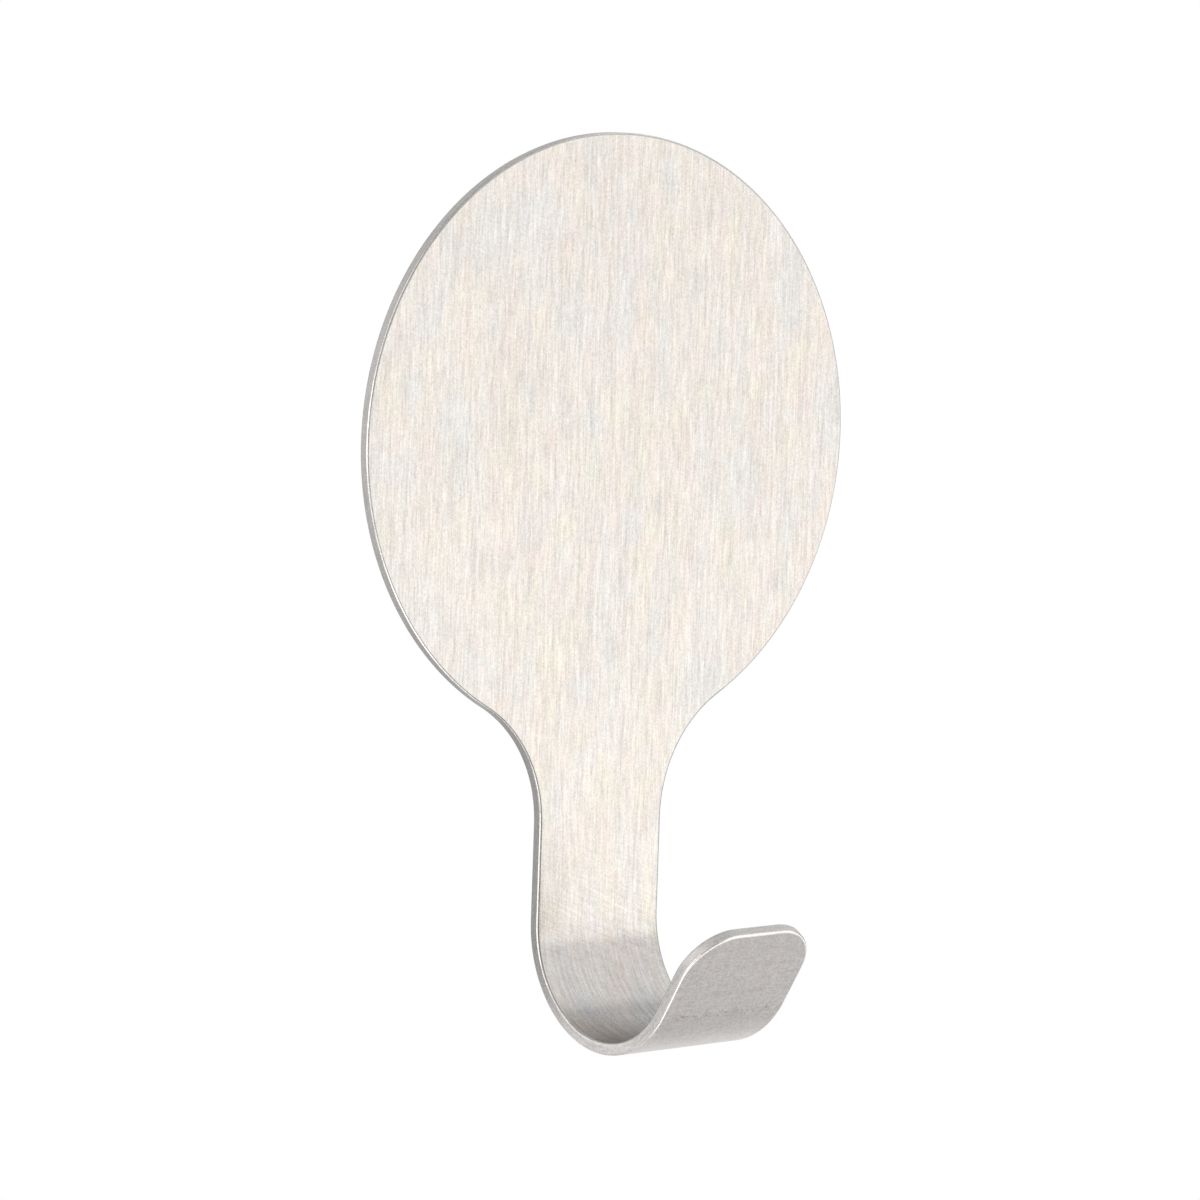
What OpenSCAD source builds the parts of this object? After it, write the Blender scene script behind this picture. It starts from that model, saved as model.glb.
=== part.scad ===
// Adhesive wall hook: one stainless sheet, blanked and bent to a J, on a round foam tape.
// Millimetres. The origin is the centre of the face that sticks to the wall. +Y goes into the wall,
// +Z is up and +X is to the right of someone who faces the hook, so the sheet's front looks along -Y.

/* [Round plate] */
// Diameter of the round plate
disc_diameter = 50; // [40:0.5:70]
// Thickness of the steel sheet
sheet_thickness = 1; // [0.6:0.1:1.6]
// Radius that takes the burr off every cut edge of the sheet
edge_radius = 0.2; // [0.05:0.05:0.28]

/* [Neck] */
// Width of the neck, the bend and the tip
neck_width = 12.8; // [10:0.2:20]
// Radius of the hollow shoulder between the round plate and the neck
shoulder_radius = 11.4; // [5:0.2:20]
// Length of the straight neck between the shoulders and the bend
neck_length = 8; // [3:0.5:30]

/* [Hook] */
// Inside radius of the bend
bend_radius = 8.5; // [4:0.5:15]
// Angle that the sheet turns through in the bend, in degrees
bend_angle = 148.11; // [110:0.01:175]
// Length of the flat tip after the bend
tip_length = 8; // [6:0.5:20]
// Radius of the tip's two corners
tip_corner_radius = 4.2; // [1:0.2:4.8]

/* [Foam tape] */
// Distance from the round plate's rim in to the tape's rim
tape_inset = 3; // [1.5:0.5:8]
// Thickness of the foam core
foam_thickness = 0.8; // [0.4:0.1:2]
// Thickness of each adhesive coat
coat_thickness = 0.1; // [0.05:0.05:0.2]

/* [Hidden] */
$fn = 96;

disc_radius = disc_diameter / 2;
half_sheet = sheet_thickness / 2;
half_neck = neck_width / 2;
tape_radius = disc_radius - tape_inset;
tape_thickness = foam_thickness + 2 * coat_thickness;

// The shoulder's circle touches the plate's circle and the neck's side
shoulder_x = half_neck + shoulder_radius;
shoulder_drop = sqrt(pow(disc_radius + shoulder_radius, 2) - pow(shoulder_x, 2));
shoulder_turn = atan2(shoulder_drop, shoulder_x);
// The sheet between the shoulders starts this share of the way out to the rim, on the line to their centres
core_share = 0.8;
core_reach = core_share * disc_radius / (disc_radius + shoulder_radius);
// The shoulder fills the corner where the plate's rim would cross the neck's side, and a little more
crossing_drop = shoulder_drop - sqrt(pow(disc_radius, 2) - pow(half_neck, 2));
crossing_reach = sqrt(pow(shoulder_radius, 2) + pow(crossing_drop, 2));
shoulder_depth = crossing_reach - shoulder_radius + half_neck / 2;

bend_drop = shoulder_drop + neck_length;
// The middle of the sheet's thickness, measured from the bend's axis
bend_middle = bend_radius + half_sheet;
// The trimming block reaches past the bend's outside by one more sheet
bend_reach = bend_radius + 2 * sheet_thickness;
tip_straight = tip_length - tip_corner_radius;
tip_flat = neck_width - 2 * tip_corner_radius;

// A sheet edge seen in section: the sheet runs from zero along X to its round edge
module edge_section(edge) {
    translate([0, -half_sheet])
        square([edge - edge_radius, sheet_thickness]);
    translate([0, edge_radius - half_sheet])
        square([edge, sheet_thickness - 2 * edge_radius]);
    for (side = [-1, 1])
        translate([edge - edge_radius, side * (half_sheet - edge_radius)])
            circle(edge_radius);
}

// The same edge facing zero: the sheet runs outwards from its round edge
module hollow_section(edge, depth) {
    translate([edge + edge_radius, -half_sheet])
        square([depth - edge_radius, sheet_thickness]);
    translate([edge, edge_radius - half_sheet])
        square([depth, sheet_thickness - 2 * edge_radius]);
    for (side = [-1, 1])
        translate([edge + edge_radius, side * (half_sheet - edge_radius)])
            circle(edge_radius);
}

// A full strip in section: thickness along X, width along Y
module strip_section() {
    for (side = [0, 1])
        mirror([0, side])
            rotate(90)
                edge_section(half_neck);
}

// One hollow shoulder, carried round its centre from the neck up to the disc's rim
module shoulder() {
    translate([shoulder_x, -shoulder_drop])
        mirror([1, 0])
            rotate_extrude(angle = shoulder_turn)
                hollow_section(shoulder_radius, shoulder_depth);
}

// The round plate in the XY plane
module disc() {
    rotate_extrude()
        edge_section(disc_radius);
}

// The sheet that joins the disc, the two shoulders and the neck
module core() {
    translate([0, 0, -half_sheet])
        linear_extrude(height = sheet_thickness)
            polygon([
                [0, 0],
                [core_reach * shoulder_x, -core_reach * shoulder_drop],
                [half_neck / 2, -shoulder_drop],
                [-half_neck / 2, -shoulder_drop],
                [-core_reach * shoulder_x, -core_reach * shoulder_drop]
            ]);
}

// The straight neck, from the bend up to the shoulders
module neck() {
    translate([0, -bend_drop, 0])
        rotate([-90, 0, 0])
            linear_extrude(height = neck_length)
                rotate(90)
                    strip_section();
}

// One round corner of the tip, a quarter turn of the sheet's edge
module tip_corner() {
    translate([0, tip_straight, half_neck - tip_corner_radius])
        rotate([0, -90, 0])
            rotate_extrude(angle = 90)
                edge_section(tip_corner_radius);
}

// The flat tip: thickness along X, length along Y and width along Z
module tip() {
    rotate([-90, 0, 0])
        linear_extrude(height = tip_straight)
            strip_section();
    for (side = [0, 1])
        mirror([0, 0, side])
            tip_corner();
    translate([0, tip_straight, -tip_flat / 2])
        linear_extrude(height = tip_flat)
            rotate(90)
                edge_section(tip_corner_radius);
}

// The bend round its axis, which is Z here: a half turn, trimmed square where the tip begins
module bend() {
    difference() {
        rotate_extrude(angle = 180)
            translate([bend_middle, 0])
                strip_section();
        rotate(bend_angle)
            translate([0, 0, -neck_width])
                cube([bend_reach, bend_reach, 2 * neck_width]);
    }
}

// Carries its children from round the bend's axis to the neck's lower end
module at_bend() {
    translate([0, -bend_drop, bend_middle])
        rotate([180, 90, 0])
            children();
}

// A tongue inside the sheet that ties the tip to the bend
module seam_tongue() {
    translate([-half_sheet / 2, -sheet_thickness, -half_neck / 2])
        cube([half_sheet, 2 * sheet_thickness, half_neck]);
}

// Everything that is cut and bent below the disc
module stem() {
    for (side = [0, 1])
        mirror([side, 0])
            shoulder();
    core();
    neck();
    at_bend()
        bend();
    at_bend()
        rotate(bend_angle)
            translate([bend_middle, 0, 0]) {
                tip();
                seam_tongue();
            }
}

module steel_hook() {
    color("silver")
        translate([0, -tape_thickness - half_sheet, 0])
            rotate([90, 0, 0]) {
                stem();
                disc();
            }
}

// A round layer of the tape whose wall side lies the given depth in front of the wall
module tape_layer(depth, thickness) {
    translate([0, -depth, 0])
        rotate([90, 0, 0])
            cylinder(h = thickness, r = tape_radius);
}

module plate_adhesive() {
    color("lightgrey")
        tape_layer(coat_thickness + foam_thickness, coat_thickness);
}

module foam_core() {
    color("white")
        tape_layer(coat_thickness, foam_thickness);
}

module wall_adhesive() {
    color("lightgrey")
        tape_layer(0, coat_thickness);
}

steel_hook();
plate_adhesive();
foam_core();
wall_adhesive();
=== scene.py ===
"""Dresses the adhesive wall hook: a brushed steel sheet, its foam tape and a small studio."""

import math

import bpy
import numpy as np
from bpy.props import FloatProperty, FloatVectorProperty, PointerProperty
from mathutils import Matrix, Vector


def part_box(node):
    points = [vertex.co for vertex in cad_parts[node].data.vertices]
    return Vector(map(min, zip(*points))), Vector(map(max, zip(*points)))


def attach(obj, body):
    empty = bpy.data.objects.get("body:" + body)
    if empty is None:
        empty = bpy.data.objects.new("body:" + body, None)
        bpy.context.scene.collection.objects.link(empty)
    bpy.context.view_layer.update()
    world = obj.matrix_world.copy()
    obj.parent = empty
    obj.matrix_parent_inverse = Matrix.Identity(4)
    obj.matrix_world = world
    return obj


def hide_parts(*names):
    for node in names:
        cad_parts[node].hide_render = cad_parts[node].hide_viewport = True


bl_info = {
    "name": "Adhesive Wall Hook",
    "version": (1, 0, 0),
    "blender": (4, 5, 0),
    "location": "3D View > Sidebar > Wall Hook",
    "description": "Builds a bent steel wall hook on a round foam tape, with its finishes and studio",
    "category": "Add Mesh",
}

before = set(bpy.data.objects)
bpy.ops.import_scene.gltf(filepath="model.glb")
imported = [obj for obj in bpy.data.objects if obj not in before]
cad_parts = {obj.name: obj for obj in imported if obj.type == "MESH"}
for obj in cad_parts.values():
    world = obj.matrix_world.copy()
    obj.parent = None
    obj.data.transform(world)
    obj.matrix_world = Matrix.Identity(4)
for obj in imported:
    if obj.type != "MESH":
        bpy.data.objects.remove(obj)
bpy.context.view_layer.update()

# The blank's value layers and the drawn patterns count in millimetres
PER_METRE = 1000.0
# Points closer than this become one point
WELD_DISTANCE = 1.0e-7
# Space between the nodes of a shader in its editor
NODE_SPACING = 220
# The body that every piece rides on
BODY = "root"
# The direction across the sheet
WIDE = np.array([1.0, 0.0, 0.0])

# The tape's radius and the plane where the sheet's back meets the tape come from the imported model
TAPE_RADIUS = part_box("foam_core")[1].z
SHEET_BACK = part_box("plate_adhesive")[0].y

# Grid counts along the sheet and across it
DISC_ROWS = 150
SHOULDER_ROWS = 44
NECK_ROWS = 16
BEND_ROWS = 96
TIP_ROWS = 8
CORNER_ROWS = 24
FACE_COLUMNS = 17
EDGE_STEPS = 9

# Grid counts of a tape layer, and the power that crowds its rings towards the rim
TAPE_TURNS = 288
TAPE_RINGS = 14
RIM_STEPS = 9
RING_POWER = 0.7

# How far the foam's rim is drawn in between its coats, and the ripple that the die left round each rim
FOAM_HOLLOW = 0.00008
FOAM_RIPPLE = 0.00002
COAT_RIPPLE = 0.00005
# The ripple's waves: how many go round the rim, their strength and their start as an angle
RIM_WAVES = ((7, 1.0, 0.6), (17, 0.7, 2.1), (41, 0.5, 0.0))

# The sheet's finishes, in the order of its materials
FRONT, BACK, EDGE = 0, 1, 2
# Depth of the fine relief on each finish, and how strongly the relief shades
FRONT_RELIEF = 0.000003
BACK_RELIEF = 0.000004
EDGE_RELIEF = 0.000002
STEEL_RELIEF_STRENGTH = 0.4
# How strongly each finish's gloss is drawn out in one direction
FRONT_ANISOTROPY = 0.15
BACK_ANISOTROPY = 0.3
EDGE_ANISOTROPY = 0.85

# The noise behind all drawn lines: its roughness, and the values that become -1 and 1
NOISE_ROUGHNESS = 0.6
NOISE_RANGE = (0.2, 0.8)
# Drawn patterns of each finish: lines per millimetre across, along and through the sheet, and their strength.
# The front has fine lines, broad lines and speckle, the back speckle, rolled lines and faint lines, and the
# edge has lines along it and speckle
FRONT_PATTERN = (((6.5, 0.5, 1.0), 0.60), ((2.8, 0.13, 1.0), 0.25), ((7.0, 6.0, 1.0), 0.55))
BACK_PATTERN = (((7.0, 6.5, 1.0), 0.75), ((0.7, 6.0, 1.0), 0.30), ((4.0, 0.6, 1.0), 0.20))
EDGE_PATTERN = (((0.6, 0.6, 7.0), 0.45), ((6.0, 6.0, 6.0), 0.60))
# How much a pattern changes its finish's roughness
PATTERN_ROUGHNESS = 0.03

# Clouds of tint, per millimetre as the patterns are, their detail, and the noise from which a tint sets in
# and at which it is full
CREAM_CLOUDS = (0.45, 0.22, 0.2)
PINK_CLOUDS = (0.40, 0.20, 1.7)
COOL_CLOUDS = (0.35, 0.18, 3.1)
BACK_CLOUDS = (0.3, 0.3, 0.3)
CLOUD_DETAIL = 3.0
FRONT_CLOUD_RANGE = (-0.5, 0.7)
BACK_CLOUD_RANGE = (-0.6, 0.6)

# Scratches low on the neck: lines per millimetre, their angle to the brushed lines and their greatest
# strength, then the stretch of the bend where they fade, in shares of it, and the share left after it
SCRATCH_LINES = (5.0, 0.35, 1.0)
SCRATCH_SLANT = math.radians(66)
SCRATCH_STRENGTH = 0.45
SCRATCH_FADE_SHARES = (0.0, 0.3)
SCRATCH_LEFT_SHARE = 0.3

# The stretch of the bend where the front grows rougher and is darkened by painted shade, in shares of it,
# then how much darker the painted shade makes the front and how much rougher the front gets
DULL_AND_SHADE_SHARES = (0.35, 0.6)
PAINTED_SHADE_DARKENING = 0.31
DULL_ROUGHNESS = 0.08

# Rows of marks that the bending press left on the back: the place after the bend's end and the half width,
# both in millimetres, and the strength
PRESS_ROWS = ((-0.4, 0.6, 1.0), (1.8, 0.4, 0.7), (4.6, 0.45, 0.5))
# The marks' dots per millimetre, their detail and the noise where they set in and are full, then how much
# rougher a mark is and how much deeper than the pattern
PRESS_DOTS = (2.4, 7.0, 1.0)
PRESS_DOT_DETAIL = 2.0
PRESS_DOT_RANGE = (0.0, 0.5)
PRESS_ROUGHNESS = 0.05
PRESS_DEPTH = 1.5

# Painted light and shade on the edge's flat, as brightness: on the plate and round the bend against the neck,
# on the tip against the bend, and at the tip's end against the tip. Each has the stretch where it changes, in
# shares of the way from the plate's centre to the neck, round the bend, or down the tip's corners
PLATE_EDGE_PAINTED_LIGHT = 1.4
PLATE_EDGE_SHARES = (0.4, 1.0)
BEND_EDGE_PAINTED_LIGHT = 1.95
BEND_EDGE_SHARES = (0.1, 0.5)
TIP_EDGE_PAINTED_SHADE = 0.82
TIP_EDGE_SHARES = (0.52, 1.1)
TIP_END_PAINTED_LIGHT = 1.28
TIP_END_SHARES = (0.1, 0.65)
# Tumbling polishes the rounded corners, and a painted highlight lies on them: how far they face outwards
# where both set in, are full, wane and end, how bright the painted highlight makes them and how much smoother
# the polish makes them. Both miss a stretch of the hollow shoulders, which sets in, is full, wanes and ends
# at shares of the way from the plate's centre to the neck
POLISH_AND_HIGHLIGHT_RANGE = (0.5, 0.68, 0.9, 0.985)
PAINTED_HIGHLIGHT_GAIN = 2.0
POLISH_SMOOTHING = 0.18
MISSED_SHARES = (0.66, 0.69, 0.83, 0.88)

# The foam's cells and its clouds of colour, per metre, how bright each is at its least and most, and the
# depth and strength of a cell's dent
FOAM_CELLS = 5200.0
FOAM_CELL_LEVELS = (0.86, 1.04)
FOAM_CLOUDS = 900.0
FOAM_CLOUD_LEVELS = (0.95, 1.05)
CELL_DEPTH = 0.00006
CELL_STRENGTH = 0.8
# The adhesive's orange-peel and its milky clouds, per millimetre, how much each changes the brightness, and
# the orange-peel's detail, depth and strength
PEEL_LINES = (1.6, 1.6, 1.6)
PEEL_CONTRAST = 0.02
MILKY_CLOUDS = (0.25, 0.25, 0.25)
MILKY_CONTRAST = 0.05
MILKY_ROUGHNESS = 0.05
PEEL_DETAIL = 2.0
PEEL_DEPTH = 0.00002
PEEL_STRENGTH = 0.5

# The camera: the point it looks at and its distance from there, its angles in degrees to the right of the
# hook's front, up and of roll, its lens and sensor in millimetres, and the nearest distance that it sees
CAMERA_AIM = (-0.00045, -0.0014, -0.01342)
CAMERA_DISTANCE = 0.3732
CAMERA_AZIMUTH = -38.946
CAMERA_ELEVATION = 5.831
CAMERA_ROLL = 1.941
CAMERA_LENS = 135.684
CAMERA_SENSOR = 36.0
CAMERA_NEAR = 0.01

# Grid counts of the floor, and where it fades to white, as shares of its radius
FLOOR_TURNS = 96
FLOOR_RINGS = 9
FADE_START_SHARE = 0.6
FADE_END_SHARE = 0.95
BLACK = (0.0, 0.0, 0.0, 1.0)
WHITE = (1.0, 1.0, 1.0, 1.0)

# How far the soft panels stand from the plate's centre, and the most that a panel's centre may lie below it.
# Low panels stand nearer for that, which keeps their centres over the floor
PANEL_DISTANCE = 2.0
PANEL_DROP = 0.45
PLAIN_LIGHT = (1.0, 0.98, 0.96)
# Each panel's name, degrees to the right of the hook's front, degrees up, half its spread across and up in
# degrees, brightness and colour
PANELS = (
    ("key", 42.0, -15.0, 35.0, 25.0, 1.12, (1.0, 0.965, 0.91)),
    ("key_low", 42.0, -24.0, 35.0, 16.0, 0.20, (1.0, 0.95, 0.84)),
    ("right_high", 48.0, 36.0, 33.0, 25.0, 0.67, (1.0, 0.97, 0.945)),
    ("right_up", 123.0, 38.0, 19.0, 20.0, 0.39, PLAIN_LIGHT),
    ("left", -80.0, 0.0, 25.0, 14.0, 1.60, PLAIN_LIGHT),
    ("left_high", -90.0, 40.0, 25.0, 14.0, 0.60, PLAIN_LIGHT),
    ("left_back", -135.0, 10.0, 22.0, 20.0, 0.52, PLAIN_LIGHT),
    ("back_high", 175.0, 36.0, 28.0, 14.0, 0.30, PLAIN_LIGHT),
    ("back_low", 122.0, -42.0, 29.0, 16.0, 0.48, PLAIN_LIGHT),
    ("down_right", 48.0, -50.0, 25.0, 14.0, 0.15, PLAIN_LIGHT),
    ("low_left", -38.0, -57.0, 17.0, 21.0, 2.20, PLAIN_LIGHT),
)


class SheetSizes(bpy.types.PropertyGroup):
    """Sizes of the steel sheet, as in the solid model"""

    disc_radius: FloatProperty(
        name="Plate radius", description="Radius of the round plate", default=0.025, unit="LENGTH")
    thickness: FloatProperty(
        name="Sheet thickness", description="Thickness of the steel sheet", default=0.001, unit="LENGTH")
    edge_radius: FloatProperty(
        name="Edge radius", description="Radius on every cut edge of the sheet", default=0.0002,
        unit="LENGTH")
    neck_width: FloatProperty(
        name="Neck width", description="Width of the neck, bend and tip", default=0.0128, unit="LENGTH")
    shoulder_radius: FloatProperty(
        name="Shoulder radius", description="Radius of the hollow shoulders", default=0.0114, unit="LENGTH")
    neck_length: FloatProperty(
        name="Neck length", description="Straight neck above the bend", default=0.008, unit="LENGTH")
    bend_radius: FloatProperty(
        name="Bend radius", description="Inside radius of the bend", default=0.0085, unit="LENGTH")
    bend_angle: FloatProperty(
        name="Bend angle", description="Angle the sheet turns through", default=math.radians(148.11),
        subtype="ANGLE")
    tip_length: FloatProperty(
        name="Tip length", description="Flat tip after the bend", default=0.008, unit="LENGTH")
    tip_corner_radius: FloatProperty(
        name="Tip corner radius", description="Radius of the tip's corners", default=0.0042, unit="LENGTH")


class SteelFinish(bpy.types.PropertyGroup):
    """Colours, roughness and contrast of the sheet's three finishes"""

    front_colour: FloatVectorProperty(
        name="Front colour", description="Brushed front of the sheet", default=(0.582, 0.558, 0.535),
        subtype="COLOR", size=3, min=0.0, max=1.0)
    cream_tint: FloatVectorProperty(
        name="Cream tint", description="Cream clouds on the front", default=(0.597, 0.578, 0.50),
        subtype="COLOR", size=3, min=0.0, max=1.0)
    pink_tint: FloatVectorProperty(
        name="Pink tint", description="Pink clouds on the front", default=(0.603, 0.547, 0.533),
        subtype="COLOR", size=3, min=0.0, max=1.0)
    cool_tint: FloatVectorProperty(
        name="Cool tint", description="Cool clouds on the front", default=(0.555, 0.557, 0.56),
        subtype="COLOR", size=3, min=0.0, max=1.0)
    back_colour: FloatVectorProperty(
        name="Back colour", description="Unbrushed back of the sheet", default=(0.63, 0.615, 0.60),
        subtype="COLOR", size=3, min=0.0, max=1.0)
    back_tint: FloatVectorProperty(
        name="Back tint", description="Clouds on the back of the sheet", default=(0.64, 0.61, 0.615),
        subtype="COLOR", size=3, min=0.0, max=1.0)
    edge_colour: FloatVectorProperty(
        name="Edge colour", description="Cut edges of the sheet", default=(0.45, 0.44, 0.43),
        subtype="COLOR", size=3, min=0.0, max=1.0)
    front_roughness: FloatProperty(
        name="Front roughness", description="Roughness of the brushed front", default=0.245,
        subtype="FACTOR", min=0.0, max=1.0)
    back_roughness: FloatProperty(
        name="Back roughness", description="Roughness of the unbrushed back", default=0.36,
        subtype="FACTOR", min=0.0, max=1.0)
    edge_roughness: FloatProperty(
        name="Edge roughness", description="Roughness of the cut edges", default=0.40,
        subtype="FACTOR", min=0.0, max=1.0)
    line_contrast: FloatProperty(
        name="Line contrast", description="How much the brushed lines vary in brightness", default=0.28,
        min=0.0, max=1.0)
    mark_contrast: FloatProperty(
        name="Press mark contrast", description="How dark the marks of the bending press are", default=0.32,
        min=0.0, max=1.0)


class TapeFinish(bpy.types.PropertyGroup):
    """Colours and roughness of the foam tape"""

    foam_colour: FloatVectorProperty(
        name="Foam colour", description="Closed-cell foam", default=(0.83, 0.83, 0.815),
        subtype="COLOR", size=3, min=0.0, max=1.0)
    adhesive_colour: FloatVectorProperty(
        name="Adhesive colour", description="Adhesive coats over the foam", default=(0.78, 0.775, 0.74),
        subtype="COLOR", size=3, min=0.0, max=1.0)
    foam_roughness: FloatProperty(
        name="Foam roughness", description="Roughness of the foam", default=0.88,
        subtype="FACTOR", min=0.0, max=1.0)
    adhesive_roughness: FloatProperty(
        name="Adhesive roughness", description="Roughness of the adhesive coats", default=0.27,
        subtype="FACTOR", min=0.0, max=1.0)


class StudioSettings(bpy.types.PropertyGroup):
    """Floor and light levels"""

    floor_drop: FloatProperty(
        name="Floor drop", description="Height of the plate's centre over the floor", default=0.5,
        unit="LENGTH")
    floor_radius: FloatProperty(
        name="Floor radius", description="Radius of the round floor", default=1.6, unit="LENGTH")
    floor_colour: FloatVectorProperty(
        name="Floor colour", description="Plain pale floor", default=(0.86, 0.86, 0.86),
        subtype="COLOR", size=3, min=0.0, max=1.0)
    room_light: FloatProperty(
        name="Room light", description="Even light from the room", default=0.4, min=0.0, max=4.0)


class WallHookSettings(bpy.types.PropertyGroup):
    """All settings of the wall hook"""

    sheet: PointerProperty(type=SheetSizes, name="Sheet", description="Sizes of the steel sheet")
    steel: PointerProperty(type=SteelFinish, name="Steel", description="Finish of the steel sheet")
    tape: PointerProperty(type=TapeFinish, name="Tape", description="Finish of the foam tape")
    studio: PointerProperty(type=StudioSettings, name="Studio", description="Floor and lights")


def quad_grid(rows, columns, closed):
    """Corner numbers of the quads between a grid's points, row by row.

    A closed grid joins its last column to its first."""
    numbers = np.arange(rows * columns).reshape(rows, columns)
    if closed:
        numbers = np.hstack([numbers, numbers[:, :1]])
    corners = (numbers[:-1, :-1], numbers[1:, :-1], numbers[1:, 1:], numbers[:-1, 1:])
    return np.stack(corners, axis=-1).reshape(-1, 4)


def weld(points, quads, finishes):
    """Gives one number to points in the same place, and turns quads with a folded side into triangles.

    Returns the kept points' numbers, the faces and their finishes."""
    cells = np.round(points / WELD_DISTANCE).astype(np.int64)
    _, kept, number = np.unique(cells, axis=0, return_index=True, return_inverse=True)
    corners = number.reshape(-1)[quads]
    same = corners == np.roll(corners, -1, axis=1)
    whole = ~same.any(axis=1)
    folded = same.sum(axis=1) == 1
    order = (np.argmax(same[folded], axis=1)[:, None] + np.arange(1, 4)) % 4
    triangles = np.take_along_axis(corners[folded], order, axis=1)
    faces = triangles.tolist() + corners[whole].tolist()
    return kept, faces, np.concatenate([finishes[folded], finishes[whole]])


def new_piece(name, points, normals, quads, materials, finishes=None, layers=None):
    """Puts welded points into a smooth mesh with its own normals, materials and named value layers."""
    if finishes is None:
        finishes = np.zeros(len(quads), dtype=int)
    kept, faces, finishes = weld(points, quads, finishes)
    mesh = bpy.data.meshes.new(name)
    mesh.from_pydata(points[kept].tolist(), [], faces)
    mesh.polygons.foreach_set("use_smooth", np.ones(len(faces), dtype=bool))
    for material in materials:
        mesh.materials.append(material)
    mesh.polygons.foreach_set("material_index", finishes)
    for layer, values in (layers or {}).items():
        kind, field = ("FLOAT", "value") if values.ndim == 1 else ("FLOAT_VECTOR", "vector")
        mesh.attributes.new(layer, kind, "POINT").data.foreach_set(field, values[kept].ravel())
    mesh.normals_split_custom_set_from_vertices(normals[kept].tolist())
    mesh.update()
    piece = bpy.data.objects.new(name, mesh)
    bpy.context.scene.collection.objects.link(piece)
    return piece


def blank_stations(sizes):
    """Places along the flat blank, down from the disc's centre.

    They are the neck's start, the bend's two ends and the start of the tip's corners. The shoulder's circle
    touches the disc's circle and the neck's side, which gives the neck's start."""
    reach = sizes.disc_radius + sizes.shoulder_radius
    neck_start = math.sqrt(reach ** 2 - (sizes.neck_width / 2 + sizes.shoulder_radius) ** 2)
    bend_start = neck_start + sizes.neck_length
    bend_end = bend_start + sizes.bend_angle * (sizes.bend_radius + sizes.thickness / 2)
    corner_start = bend_end + sizes.tip_length - sizes.tip_corner_radius
    return neck_start, bend_start, bend_end, corner_start


def blank_edge(sizes):
    """Right half of the flat blank's outline, drawn in by the edge radius.

    It runs from the disc's top to the tip's end. The disc is an arc round the centre, and the shoulder an arc
    that touches the disc and the neck from outside. Then come straight sides, and a quarter arc at the tip's
    corner. Returns each point's places across and along (down from the disc's centre), and its outward
    normal."""
    inset = sizes.edge_radius
    half_neck = sizes.neck_width / 2
    shoulder_x = half_neck + sizes.shoulder_radius
    neck_start, bend_start, bend_end, corner_start = blank_stations(sizes)
    meeting = math.atan2(neck_start, shoulder_x)

    turn = np.linspace(0, math.pi / 2 + meeting, DISC_ROWS)
    disc_normal = np.stack([np.sin(turn), -np.cos(turn)], axis=1)
    disc = disc_normal * (sizes.disc_radius - inset)

    turn = np.linspace(meeting, 0, SHOULDER_ROWS)[1:]
    shoulder_normal = np.stack([np.cos(turn), np.sin(turn)], axis=1)
    shoulder = np.array([shoulder_x, neck_start]) - shoulder_normal * (sizes.shoulder_radius + inset)

    along = np.concatenate([
        np.linspace(neck_start, bend_start, NECK_ROWS)[1:],
        np.linspace(bend_start, bend_end, BEND_ROWS)[1:],
        np.linspace(bend_end, corner_start, TIP_ROWS)[1:]])
    side = np.stack([np.full_like(along, half_neck - inset), along], axis=1)
    side_normal = np.tile([1.0, 0.0], (len(along), 1))

    turn = np.linspace(0, math.pi / 2, CORNER_ROWS)[1:]
    corner_normal = np.stack([np.cos(turn), np.sin(turn)], axis=1)
    corner_centre = np.array([half_neck - sizes.tip_corner_radius, corner_start])
    corner = corner_centre + corner_normal * (sizes.tip_corner_radius - inset)

    outline = np.concatenate([disc, shoulder, side, corner])
    normal = np.concatenate([disc_normal, shoulder_normal, side_normal, corner_normal])
    return outline, normal


def bent_line(sizes, along):
    """The middle line of the bent sheet: straight down, round the bend's axis, then straight on.

    Returns its points, its direction and the direction of the sheet's front for each place along it."""
    middle = sizes.bend_radius + sizes.thickness / 2
    bend_start = blank_stations(sizes)[1]
    turn = np.clip((along - bend_start) / middle, 0, sizes.bend_angle)
    before = np.minimum(along - bend_start, 0)
    after = np.maximum(along - bend_start - sizes.bend_angle * middle, 0)
    zero = np.zeros_like(along)
    onward = np.stack([zero, -np.sin(turn), -np.cos(turn)], axis=1)
    front = np.stack([zero, -np.cos(turn), np.sin(turn)], axis=1)
    axis = np.array([0.0, SHEET_BACK - sizes.thickness / 2 - middle, -bend_start])
    line = axis - front * middle + onward * (before + after)[:, None]
    return line, onward, front


def edge_section(sizes):
    """The sheet's edge in section: two quarter arcs of the edge radius with a flat between them.

    Returns each point's step out, its height over the middle line and its turn from the front's normal."""
    half, inset = sizes.thickness / 2, sizes.edge_radius
    arc = np.linspace(0, math.pi / 2, EDGE_STEPS)
    turn = np.concatenate([arc, arc + math.pi / 2])
    centre = np.repeat([half - inset, inset - half], EDGE_STEPS)
    return inset * np.sin(turn), centre + inset * np.cos(turn), turn


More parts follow.
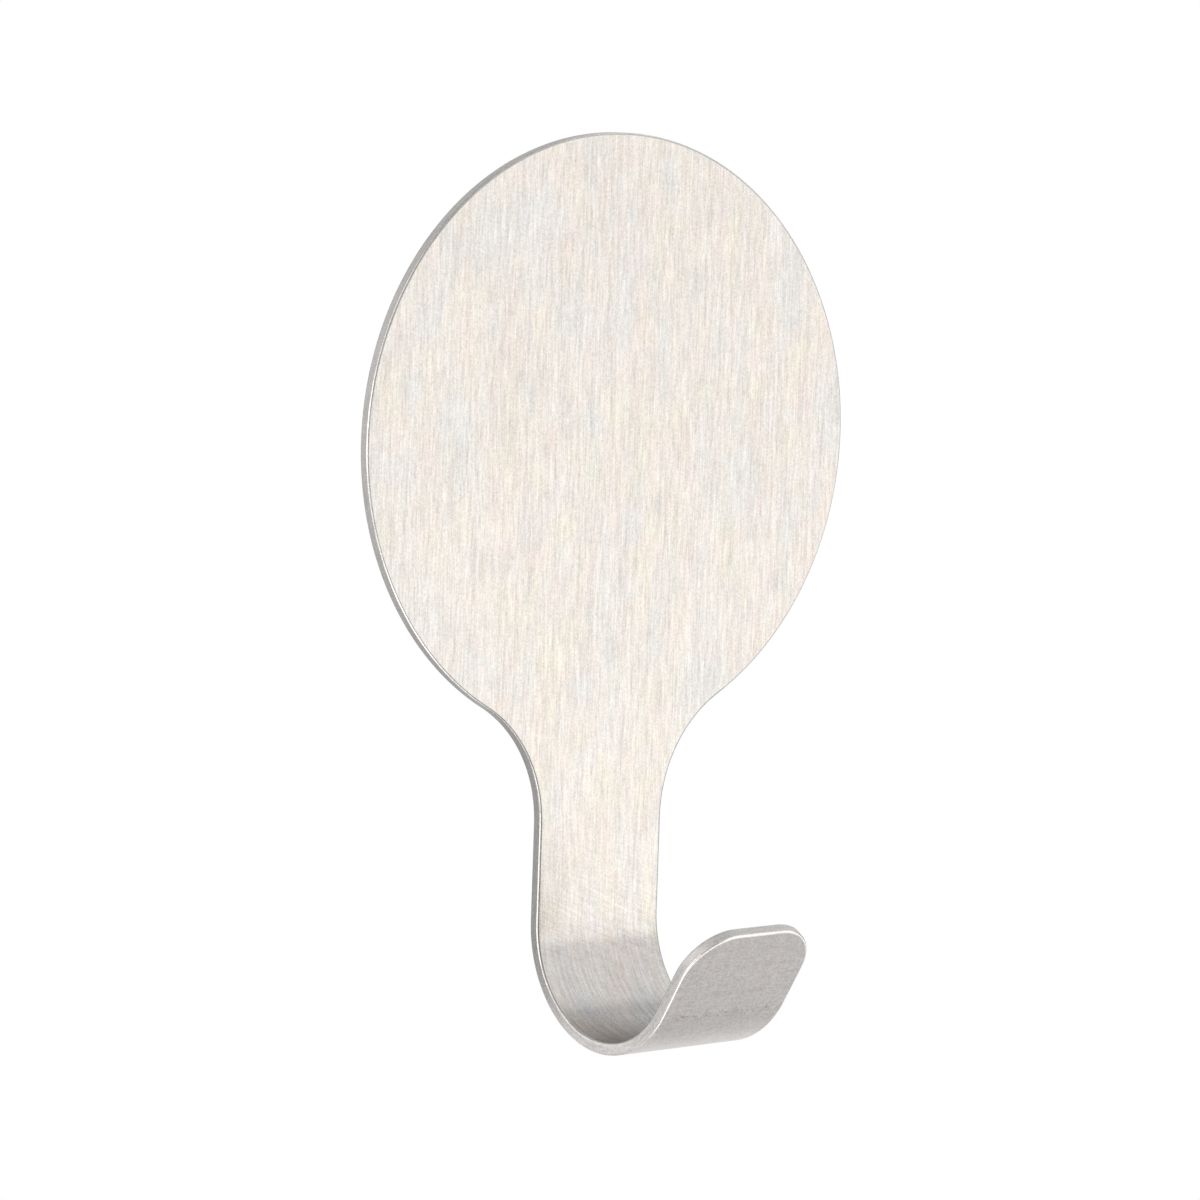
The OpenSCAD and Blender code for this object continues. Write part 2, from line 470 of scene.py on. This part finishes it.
def sheet_rings(sizes):
    """Closed sections of the sheet, one for each point of the outline, carried down the bent middle line.

    Each runs over the front face, round one edge, over the back face and round the other edge. A face point
    lies at a share of the outline's width, and an edge point steps out from it along the outline's normal.
    Returns points, normals, the directions that gloss is drawn out in, places on the flat blank and how far
    each point faces outwards."""
    outline, normal = blank_edge(sizes)
    line, onward, front = (rows[:, None] for rows in bent_line(sizes, outline[:, 1]))
    out, height, swing = (column[1:-1] for column in edge_section(sizes))
    half = sizes.thickness / 2

    # For each column: its share of the width, its side (zero on a face), step out, height and turn
    share = np.linspace(-1, 1, FACE_COLUMNS)
    face, edge = np.zeros(FACE_COLUMNS), np.ones(len(out))
    across = np.concatenate([share, edge, -share, -edge])
    side = np.concatenate([face, edge, face, -edge])
    step = np.concatenate([face, out, face, out[::-1]])
    level = np.concatenate([face + half, height, face - half, height[::-1]])
    turn = np.concatenate([face, swing, face + math.pi, swing[::-1]])

    normal_x, normal_s = normal[:, :1] * side, normal[:, 1:] * np.abs(side)
    x = outline[:, :1] * across + normal_x * step
    s_step = normal_s * step
    points = line + x[..., None] * WIDE + s_step[..., None] * onward + level[:, None] * front
    outward = normal_x[..., None] * WIDE + normal_s[..., None] * onward
    normals = outward * np.sin(turn)[:, None] + np.cos(turn)[:, None] * front
    along_edge = normal_x[..., None] * onward - normal_s[..., None] * WIDE
    gloss = np.where((side == 0)[:, None], WIDE, along_edge)
    blank = np.stack([x, outline[:, 1:] + s_step, np.broadcast_to(level, x.shape)], axis=-1)
    return points, normals, gloss, blank, np.broadcast_to(np.abs(np.sin(turn)), x.shape)


def tip_strip(sizes):
    """The strip that closes the tip: the edge section carried across the last ring.

    Returns the same kinds of values as sheet_rings."""
    outline, _ = blank_edge(sizes)
    line, onward, front = (rows[-1] for rows in bent_line(sizes, outline[:, 1]))
    out, height, turn = edge_section(sizes)
    share = np.linspace(-1, 1, FACE_COLUMNS)
    x = np.repeat(share[:, None] * outline[-1, 0], len(out), axis=1)
    points = line + x[..., None] * WIDE + out[:, None] * onward + height[:, None] * front
    normals = onward * np.sin(turn)[:, None] + front * np.cos(turn)[:, None]
    along = np.broadcast_to(outline[-1, 1] + out, x.shape)
    blank = np.stack([x, along, np.broadcast_to(height, x.shape)], axis=-1)
    rim = np.broadcast_to(np.abs(np.sin(turn)), x.shape)
    return points, np.broadcast_to(normals, points.shape), np.broadcast_to(WIDE, points.shape), blank, rim


def steel_surface(sizes):
    """The whole sheet as one closed surface: its rings, and the strip that closes the tip."""
    rings, strip = sheet_rings(sizes), tip_strip(sizes)
    points, normals, gloss, blank = (
        np.concatenate([first.reshape(-1, 3), second.reshape(-1, 3)])
        for first, second in zip(rings[:-1], strip[:-1]))
    rim = np.concatenate([rings[-1].ravel(), strip[-1].ravel()])

    rows, columns = rings[-1].shape
    strip_rows, strip_columns = strip[-1].shape
    quads = np.concatenate([
        quad_grid(rows, columns, closed=True),
        quad_grid(strip_rows, strip_columns, closed=False)[:, ::-1] + rows * columns])
    face, edge = FACE_COLUMNS - 1, strip_columns - 1
    ring_finish = np.repeat([FRONT, EDGE, BACK, EDGE], [face, edge, face, edge])
    finishes = np.concatenate([np.tile(ring_finish, rows - 1), np.full(face * edge, EDGE)])
    layers = {"blank": blank * PER_METRE, "gloss": gloss, "rim": rim}
    return points, normals, quads, finishes, layers


def round_layer(radius, front, back, rim_hollow, ripple):
    """A round layer between two planes: a profile turned about the Y axis.

    The profile goes out over the front, round the rim and back to the centre. The rim's radius is drawn in
    by a parabola across the thickness, and by a sum of waves round the circle for a die-cut edge."""
    around = np.linspace(0, 2 * math.pi, TAPE_TURNS, endpoint=False)
    face = np.linspace(0, 1, TAPE_RINGS) ** RING_POWER
    across = np.linspace(0, 1, RIM_STEPS)[1:-1]
    flat = np.zeros(TAPE_RINGS)
    share = np.concatenate([face, np.ones(len(across)), face[::-1]])
    drawn = np.concatenate([flat, rim_hollow * 4 * across * (1 - across), flat])
    depth = np.concatenate([flat, across, flat + 1])
    waves = sum(strength * np.sin(count * around + start) for count, strength, start in RIM_WAVES)
    most = sum(strength for _, strength, _ in RIM_WAVES)
    distance = (radius - ripple - ripple * waves / most)[:, None] * share - drawn
    y = np.broadcast_to(front + (back - front) * depth, distance.shape)
    points = np.stack([distance * np.sin(around)[:, None], y, distance * np.cos(around)[:, None]], axis=-1)

    outward = np.stack([np.sin(around), np.zeros(TAPE_TURNS), np.cos(around)], axis=-1)
    normals = np.repeat(outward[:, None], len(share), axis=1)
    normals[:, depth == 0] = (0, -1, 0)
    normals[:, depth == 1] = (0, 1, 0)
    quads = quad_grid(len(share), TAPE_TURNS, closed=True)[:, ::-1]
    return points.swapaxes(0, 1).reshape(-1, 3), normals.swapaxes(0, 1).reshape(-1, 3), quads


class NodeTree:
    """A short way to add and link shader nodes"""

    def __init__(self, tree):
        self.tree = tree
        self.column = 0

    def add(self, kind, inputs=None, **settings):
        """Adds a node, sets its options and fills its inputs."""
        node = self.tree.nodes.new(kind)
        node.location = (NODE_SPACING * self.column, 0)
        self.column += 1
        for option, choice in settings.items():
            setattr(node, option, choice)
        self.fill(node, inputs or {})
        return node

    def fill(self, node, inputs):
        """Links or sets a node's inputs, by name or number."""
        for key, value in inputs.items():
            socket = node.inputs[key]
            if isinstance(value, bpy.types.NodeSocket):
                self.tree.links.new(value, socket)
            else:
                socket.default_value = value

    def math(self, operation, *values):
        """One operation on values."""
        return self.add("ShaderNodeMath", dict(enumerate(values)), operation=operation).outputs[0]

    def sum(self, *terms, base=0.0):
        """A base plus values, each with its share: (value, share)."""
        total = base
        for value, share in terms:
            total = self.math("MULTIPLY_ADD", value, share, total)
        return total

    def product(self, first, *others):
        """The product of values."""
        total = first
        for value in others:
            total = self.math("MULTIPLY", total, value)
        return total

    def ramp(self, value, low, high, start=0.0, end=1.0):
        """A clamped ramp: start below low, end above high."""
        inputs = {"Value": value, "From Min": low, "From Max": high, "To Min": start, "To Max": end}
        return self.add("ShaderNodeMapRange", inputs).outputs[0]

    def band(self, value, rise, full, fall, end):
        """One from full to fall, with a ramp up to it from rise and a ramp down from it to end."""
        return self.product(self.ramp(value, rise, full), self.ramp(value, fall, end, 1.0, 0.0))

    def mix(self, factor, first, second):
        """A mix of two colours, which are a Mix node's inputs 6 and 7 and its output 2."""
        return self.add("ShaderNodeMix", {0: factor, 6: first, 7: second}, data_type="RGBA").outputs[2]

    def mix_values(self, factor, first, second):
        """A mix of two values, which are a Mix node's inputs 2 and 3 and its output 0."""
        return self.add("ShaderNodeMix", {0: factor, 2: first, 3: second}, data_type="FLOAT").outputs[0]

    def scaled(self, vector, level):
        """A vector or a colour times a level."""
        return self.add("ShaderNodeVectorMath", {0: vector, "Scale": level}, operation="SCALE").outputs[0]

    def bump(self, height, strength, depth):
        """A normal dented by a height."""
        inputs = {"Height": height, "Strength": strength, "Distance": depth}
        return self.add("ShaderNodeBump", inputs).outputs[0]

    def value(self, layer, output):
        """One of the piece's own value layers."""
        return self.add("ShaderNodeAttribute", attribute_name=layer).outputs[output]

    def object_place(self):
        """The place in the object, in metres."""
        return self.add("ShaderNodeTexCoord").outputs["Object"]


def new_group(name, inputs, outputs):
    """An empty shader group with the named sockets: (name, type, default) in and (name, type) out."""
    tree = bpy.data.node_groups.new(name, "ShaderNodeTree")
    for socket, kind, default in inputs:
        item = tree.interface.new_socket(socket, in_out="INPUT", socket_type=kind)
        item.default_value = default
    for socket, kind in outputs:
        tree.interface.new_socket(socket, in_out="OUTPUT", socket_type=kind)
    nodes = NodeTree(tree)
    return nodes, nodes.add("NodeGroupInput").outputs


def drawn_lines_group():
    """Fine lines from -1 to 1: noise stretched to the given lines per millimetre on each axis."""
    name = "drawn_lines"
    if name in bpy.data.node_groups:
        return bpy.data.node_groups[name]
    nodes, given = new_group(
        name,
        (("Place", "NodeSocketVector", (0, 0, 0)), ("Per millimetre", "NodeSocketVector", (1, 1, 1)),
         ("Detail", "NodeSocketFloat", 2.0)),
        (("Lines", "NodeSocketFloat"),))
    stretch = {0: given["Place"], 1: given["Per millimetre"]}
    stretched = nodes.add("ShaderNodeVectorMath", stretch, operation="MULTIPLY").outputs[0]
    inputs = {"Vector": stretched, "Scale": 1.0, "Detail": given["Detail"], "Roughness": NOISE_ROUGHNESS}
    noise = nodes.add("ShaderNodeTexNoise", inputs).outputs["Fac"]
    nodes.add("NodeGroupOutput", {"Lines": nodes.ramp(noise, *NOISE_RANGE, -1.0, 1.0)})
    return nodes.tree


def drawn_lines(nodes, place, per_millimetre, detail=1.0):
    """The drawn lines group placed in a material."""
    inputs = {"Place": place, "Per millimetre": per_millimetre, "Detail": detail}
    return nodes.add("ShaderNodeGroup", inputs, node_tree=drawn_lines_group()).outputs["Lines"]


def drawn_pattern(nodes, place, pattern):
    """A finish's drawn lines added up, each times its strength."""
    return nodes.sum(*((drawn_lines(nodes, place, lines), strength) for lines, strength in pattern))


def new_material(name):
    """An empty node material, its tree helper and its Principled shader."""
    material = bpy.data.materials.new(name)
    material.use_nodes = True
    material.node_tree.nodes.clear()
    nodes = NodeTree(material.node_tree)
    shader = nodes.add("ShaderNodeBsdfPrincipled")
    nodes.add("ShaderNodeOutputMaterial", {"Surface": shader.outputs[0]})
    return material, nodes, shader


def opaque(colour):
    """A colour with full alpha."""
    return (colour[0], colour[1], colour[2], 1.0)


def blank_place(nodes):
    """The place on the flat blank in millimetres, and its part along the blank."""
    place = nodes.value("blank", "Vector")
    return place, nodes.add("ShaderNodeSeparateXYZ", {0: place}).outputs["Y"]


def neck_top(sizes):
    """The neck's start, in millimetres along the blank."""
    return blank_stations(sizes)[0] * PER_METRE


def down_plate(sizes, shares):
    """Places at shares of the way from the plate's centre to the neck, in millimetres along the blank."""
    return [share * neck_top(sizes) for share in shares]


def round_bend(sizes, shares):
    """Places at shares of the way round the bend, in millimetres along the blank."""
    _, start, end, _ = blank_stations(sizes)
    return [(start + share * (end - start)) * PER_METRE for share in shares]


def round_tip(sizes, shares):
    """Places at shares of the way down the tip's corners, in millimetres along the blank."""
    start = blank_stations(sizes)[3]
    return [(start + share * sizes.tip_corner_radius) * PER_METRE for share in shares]


def link_steel(nodes, shader, colour, roughness, height, depth, anisotropy):
    """Joins a steel finish to its shader: metal, colour, roughness, relief and gloss drawn out one way."""
    nodes.fill(shader, {
        "Base Color": colour,
        "Metallic": 1.0,
        "Roughness": roughness,
        "Normal": nodes.bump(height, STEEL_RELIEF_STRENGTH, depth),
        "Anisotropic": anisotropy,
        "Tangent": nodes.value("gloss", "Vector"),
    })


def brushed_front(finish, sizes):
    """The brushed front: lines down the sheet, speckle and clouds of tint.

    Slanting scratches lie low on the neck, and round the bend the sheet grows rougher and is darkened by
    painted shade."""
    material, nodes, shader = new_material("brushed_front")
    place, along = blank_place(nodes)
    slant = {"Vector": place, "Angle": SCRATCH_SLANT}
    slanted = nodes.add("ShaderNodeVectorRotate", slant, rotation_type="Z_AXIS").outputs[0]
    fade_start, fade_end = round_bend(sizes, SCRATCH_FADE_SHARES)
    low_neck = nodes.product(
        nodes.ramp(along, neck_top(sizes), fade_start, 0.0, SCRATCH_STRENGTH),
        nodes.ramp(along, fade_start, fade_end, 1.0, SCRATCH_LEFT_SHARE))
    scratches = drawn_lines(nodes, slanted, SCRATCH_LINES)
    pattern = nodes.sum((scratches, low_neck), base=drawn_pattern(nodes, place, FRONT_PATTERN))
    tint = opaque(finish.front_colour)
    for clouds, colour in (
            (CREAM_CLOUDS, finish.cream_tint), (PINK_CLOUDS, finish.pink_tint),
            (COOL_CLOUDS, finish.cool_tint)):
        share = nodes.ramp(drawn_lines(nodes, place, clouds, CLOUD_DETAIL), *FRONT_CLOUD_RANGE)
        tint = nodes.mix(share, tint, opaque(colour))
    # Painted shade: the front darkens round the bend, where it also grows rougher
    dulled_and_shaded = nodes.ramp(along, *round_bend(sizes, DULL_AND_SHADE_SHARES))
    level = nodes.sum((pattern, finish.line_contrast), (dulled_and_shaded, -PAINTED_SHADE_DARKENING), base=1.0)
    roughness = nodes.sum(
        (pattern, PATTERN_ROUGHNESS), (dulled_and_shaded, DULL_ROUGHNESS), base=finish.front_roughness)
    link_steel(nodes, shader, nodes.scaled(tint, level), roughness, pattern, FRONT_RELIEF, FRONT_ANISOTROPY)
    return material


def unbrushed_back(finish, sizes):
    """The unbrushed back: an even speckle, faint lines and clouds, and the rows of press marks."""
    material, nodes, shader = new_material("unbrushed_back")
    place, along = blank_place(nodes)
    pattern = drawn_pattern(nodes, place, BACK_PATTERN)
    bend_end = blank_stations(sizes)[2] * PER_METRE
    rows = []
    for offset, reach, strength in PRESS_ROWS:
        distance = nodes.math("ABSOLUTE", nodes.math("SUBTRACT", along, bend_end + offset))
        rows.append((nodes.ramp(distance, 0.0, reach, 1.0, 0.0), strength))
    dots = nodes.ramp(drawn_lines(nodes, place, PRESS_DOTS, PRESS_DOT_DETAIL), *PRESS_DOT_RANGE)
    marks = nodes.product(dots, nodes.sum(*rows))
    clouds = nodes.ramp(drawn_lines(nodes, place, BACK_CLOUDS, CLOUD_DETAIL), *BACK_CLOUD_RANGE)
    tint = nodes.mix(clouds, opaque(finish.back_colour), opaque(finish.back_tint))
    level = nodes.sum((pattern, finish.line_contrast), (marks, -finish.mark_contrast), base=1.0)
    roughness = nodes.sum(
        (pattern, PATTERN_ROUGHNESS), (marks, PRESS_ROUGHNESS), base=finish.back_roughness)
    height = nodes.sum((marks, -PRESS_DEPTH), base=pattern)
    link_steel(nodes, shader, nodes.scaled(tint, level), roughness, height, BACK_RELIEF, BACK_ANISOTROPY)
    return material


def tumbled_edge(finish, sizes):
    """The cut edge after tumbling: fine lines along it, speckle, and a smoother polish with a painted
    highlight on its rounded corners.

    The flat between the corners carries painted light and shade: it is brightest round the bend and at the
    tip's end."""
    material, nodes, shader = new_material("tumbled_edge")
    place, along = blank_place(nodes)
    pattern = drawn_pattern(nodes, place, EDGE_PATTERN)
    # Painted light and shade along the edge's flat: brighter on the plate, round the bend and at the tip's
    # end
    flat = nodes.product(
        nodes.ramp(along, *down_plate(sizes, PLATE_EDGE_SHARES), PLATE_EDGE_PAINTED_LIGHT, 1.0),
        nodes.ramp(along, *round_bend(sizes, BEND_EDGE_SHARES), 1.0, BEND_EDGE_PAINTED_LIGHT),
        nodes.ramp(along, *round_bend(sizes, TIP_EDGE_SHARES), 1.0, TIP_EDGE_PAINTED_SHADE),
        nodes.ramp(along, *round_tip(sizes, TIP_END_SHARES), 1.0, TIP_END_PAINTED_LIGHT))
    # Painted highlight on the rounded corners, together with their smoother polish; both left out on the
    # hollow shoulders
    rounded = nodes.band(nodes.value("rim", "Fac"), *POLISH_AND_HIGHLIGHT_RANGE)
    missed = nodes.band(along, *down_plate(sizes, MISSED_SHARES))
    polish_and_highlight = nodes.product(rounded, nodes.sum((missed, -1.0), base=1.0))
    painted_edge_light = nodes.mix_values(polish_and_highlight, flat, PAINTED_HIGHLIGHT_GAIN)
    level = nodes.product(painted_edge_light, nodes.sum((pattern, finish.line_contrast), base=1.0))
    roughness = nodes.sum(
        (pattern, PATTERN_ROUGHNESS), (polish_and_highlight, -POLISH_SMOOTHING), base=finish.edge_roughness)
    colour = nodes.scaled(finish.edge_colour, level)
    link_steel(nodes, shader, colour, roughness, pattern, EDGE_RELIEF, EDGE_ANISOTROPY)
    return material


def closed_cell_foam(finish):
    """White closed-cell foam: small cells that dent the cut rim and mottle the colour."""
    material, nodes, shader = new_material("closed_cell_foam")
    place = nodes.object_place()
    cells = nodes.add("ShaderNodeTexVoronoi", {"Vector": place, "Scale": FOAM_CELLS}).outputs["Distance"]
    inputs = {"Vector": place, "Scale": FOAM_CLOUDS, "Detail": CLOUD_DETAIL}
    clouds = nodes.add("ShaderNodeTexNoise", inputs).outputs["Fac"]
    level = nodes.product(
        nodes.ramp(cells, 0.0, 1.0, *FOAM_CELL_LEVELS), nodes.ramp(clouds, 0.0, 1.0, *FOAM_CLOUD_LEVELS))
    nodes.fill(shader, {
        "Base Color": nodes.scaled(finish.foam_colour, level),
        "Roughness": finish.foam_roughness,
        "Normal": nodes.bump(cells, CELL_STRENGTH, CELL_DEPTH),
    })
    return material


def tacky_adhesive(finish):
    """Tacky adhesive film: a slight gloss over a fine orange-peel and small milky clouds."""
    material, nodes, shader = new_material("tacky_adhesive")
    place = nodes.scaled(nodes.object_place(), PER_METRE)
    peel = drawn_lines(nodes, place, PEEL_LINES, PEEL_DETAIL)
    clouds = drawn_lines(nodes, place, MILKY_CLOUDS, CLOUD_DETAIL)
    level = nodes.sum((clouds, MILKY_CONTRAST), (peel, PEEL_CONTRAST), base=1.0)
    nodes.fill(shader, {
        "Base Color": nodes.scaled(finish.adhesive_colour, level),
        "Roughness": nodes.sum((clouds, MILKY_ROUGHNESS), base=finish.adhesive_roughness),
        "Normal": nodes.bump(peel, PEEL_STRENGTH, PEEL_DEPTH),
    })
    return material


def pale_floor(studio):
    """The plain floor, which fades to the background's white towards its rim."""
    material, nodes, shader = new_material("pale_floor")
    place = nodes.object_place()
    distance = nodes.add("ShaderNodeVectorMath", {0: place}, operation="LENGTH").outputs["Value"]
    radius = studio.floor_radius
    fade = nodes.ramp(distance, FADE_START_SHARE * radius, FADE_END_SHARE * radius)
    nodes.fill(shader, {
        "Base Color": nodes.mix(fade, opaque(studio.floor_colour), BLACK),
        "Roughness": 0.8,
        "Emission Color": nodes.mix(fade, BLACK, WHITE),
        "Emission Strength": 1.0,
    })
    return material


def stand_for(piece, node):
    """Gives a piece its body, and lets it stand for its CAD node."""
    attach(piece, BODY)
    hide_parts(node)


def towards(azimuth, elevation):
    """The direction at an angle to the right of the hook's front and an angle up, both in degrees."""
    turn, rise = math.radians(azimuth), math.radians(elevation)
    return Vector((math.sin(turn) * math.cos(rise), -math.cos(turn) * math.cos(rise), math.sin(rise)))


def add_panel(name, azimuth, elevation, spread, rise, brightness, colour):
    """A soft rectangular panel that faces the hook; its power follows from its brightness and area."""
    distance = PANEL_DISTANCE
    if elevation < 0:
        distance = min(distance, PANEL_DROP / math.sin(math.radians(-elevation)))
    data = bpy.data.lights.new(name, "AREA")
    data.shape = "RECTANGLE"
    data.size = 2 * distance * math.tan(math.radians(spread))
    data.size_y = 2 * distance * math.tan(math.radians(rise))
    data.energy = brightness * math.pi * data.size * data.size_y
    data.color = colour
    panel = bpy.data.objects.new(name, data)
    direction = towards(azimuth, elevation)
    turn = (-direction).to_track_quat("-Z", "Y").to_matrix().to_4x4()
    panel.matrix_world = Matrix.Translation(direction * distance) @ turn
    panel.visible_camera = False
    bpy.context.scene.collection.objects.link(panel)


class WALLHOOK_OT_steel_sheet(bpy.types.Operator):
    """Build the blanked and bent steel sheet with its three finishes"""

    bl_idname = "wall_hook.steel_sheet"
    bl_label = "Steel sheet"

    def execute(self, context):
        settings = context.scene.wall_hook
        sizes, finish = settings.sheet, settings.steel
        points, normals, quads, finishes, layers = steel_surface(sizes)
        materials = (brushed_front(finish, sizes), unbrushed_back(finish, sizes), tumbled_edge(finish, sizes))
        piece = new_piece("brushed_sheet", points, normals, quads, materials, finishes, layers)
        stand_for(piece, "steel_hook")
        return {"FINISHED"}


class WALLHOOK_OT_foam_tape(bpy.types.Operator):
    """Build the foam core and its two adhesive coats"""

    bl_idname = "wall_hook.foam_tape"
    bl_label = "Foam tape"

    def execute(self, context):
        finish = context.scene.wall_hook.tape
        coat, foam = tacky_adhesive(finish), closed_cell_foam(finish)
        layers = (
            ("plate_coat", "plate_adhesive", "adhesive", 0.0, COAT_RIPPLE, coat),
            ("foam_disc", "foam_core", "foam", FOAM_HOLLOW, FOAM_RIPPLE, foam),
            ("wall_coat", "wall_adhesive", "adhesive", 0.0, COAT_RIPPLE, coat),
        )
        for name, node, slot, hollow, ripple, material in layers:
            low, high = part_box(node)
            points, normals, quads = round_layer(TAPE_RADIUS, low.y, high.y, hollow, ripple)
            piece = new_piece(name, points, normals, quads, (material,))
            stand_for(piece, node)
        return {"FINISHED"}


class WALLHOOK_OT_studio(bpy.types.Operator):
    """Set up the floor, the soft panels, the room light and the camera"""

    bl_idname = "wall_hook.studio"
    bl_label = "Studio"

    def execute(self, context):
        studio = context.scene.wall_hook.studio
        self.add_floor(studio)
        for panel in PANELS:
            add_panel(*panel)
        self.light_room(context, studio)
        self.add_camera(context)
        context.scene.view_settings.view_transform = "Standard"
        return {"FINISHED"}

    def add_floor(self, studio):
        """A flat round floor: rings of points out from its centre."""
        around = np.linspace(0, 2 * math.pi, FLOOR_TURNS, endpoint=False)
        rings = np.linspace(0, studio.floor_radius, FLOOR_RINGS)[:, None]
        z = np.full((FLOOR_RINGS, FLOOR_TURNS), -studio.floor_drop)
        points = np.stack([rings * np.cos(around), rings * np.sin(around), z], axis=-1).reshape(-1, 3)
        normals = np.tile([0.0, 0.0, 1.0], (len(points), 1))
        quads = quad_grid(FLOOR_RINGS, FLOOR_TURNS, closed=True)
        floor = new_piece("floor", points, normals, quads, (pale_floor(studio),))

    def light_room(self, context, studio):
        """Even light from the room, with a white background behind the hook."""
        world = bpy.data.worlds.new("studio_room")
        world.use_nodes = True
        world.node_tree.nodes.clear()
        nodes = NodeTree(world.node_tree)
        seen = nodes.add("ShaderNodeLightPath").outputs["Is Camera Ray"]
        room = nodes.add("ShaderNodeBackground", {"Color": WHITE, "Strength": studio.room_light})
        white = nodes.add("ShaderNodeBackground", {"Color": WHITE, "Strength": 1.0})
        mixed = nodes.add("ShaderNodeMixShader", {0: seen, 1: room.outputs[0], 2: white.outputs[0]})
        nodes.add("ShaderNodeOutputWorld", {"Surface": mixed.outputs[0]})
        context.scene.world = world

    def add_camera(self, context):
        """The camera, turned from its aim out to its place and rolled about its view."""
        data = bpy.data.cameras.new("photo_camera")
        data.lens = CAMERA_LENS
        data.sensor_width = CAMERA_SENSOR
        data.sensor_fit = "HORIZONTAL"
        data.clip_start = CAMERA_NEAR
        camera = bpy.data.objects.new("photo_camera", data)
        outward = towards(CAMERA_AZIMUTH, CAMERA_ELEVATION)
        turn = outward.to_track_quat("Z", "Y").to_matrix().to_4x4()
        roll = Matrix.Rotation(math.radians(CAMERA_ROLL), 4, "Z")
        camera.matrix_world = Matrix.Translation(Vector(CAMERA_AIM) + outward * CAMERA_DISTANCE) @ turn @ roll
        context.scene.collection.objects.link(camera)
        context.scene.camera = camera


class WALLHOOK_PT_sidebar(bpy.types.Panel):
    """Lists the hook's pieces and their settings"""

    bl_label = "Wall Hook"
    bl_idname = "WALLHOOK_PT_sidebar"
    bl_space_type = "VIEW_3D"
    bl_region_type = "UI"
    bl_category = "Wall Hook"

    def draw(self, context):
        settings = context.scene.wall_hook
        for operator, groups in (
                (WALLHOOK_OT_steel_sheet, (settings.sheet, settings.steel)),
                (WALLHOOK_OT_foam_tape, (settings.tape,)),
                (WALLHOOK_OT_studio, (settings.studio,))):
            self.layout.operator(operator.bl_idname)
            for group in groups:
                box = self.layout.box()
                for setting in group.__annotations__:
                    box.prop(group, setting)


CLASSES = (
    SheetSizes,
    SteelFinish,
    TapeFinish,
    StudioSettings,
    WallHookSettings,
    WALLHOOK_OT_steel_sheet,
    WALLHOOK_OT_foam_tape,
    WALLHOOK_OT_studio,
    WALLHOOK_PT_sidebar,
)


def register():
    """Registers the classes and the scene's settings."""
    for item in CLASSES:
        bpy.utils.register_class(item)
    bpy.types.Scene.wall_hook = PointerProperty(
        type=WallHookSettings, name="Wall hook", description="Settings of the wall hook")


def unregister():
    """Takes the settings and the classes away again."""
    del bpy.types.Scene.wall_hook
    for item in reversed(CLASSES):
        bpy.utils.unregister_class(item)


def main():
    register()
    bpy.ops.wall_hook.steel_sheet()
    bpy.ops.wall_hook.foam_tape()
    bpy.ops.wall_hook.studio()


if __name__ == "__main__":
    main()
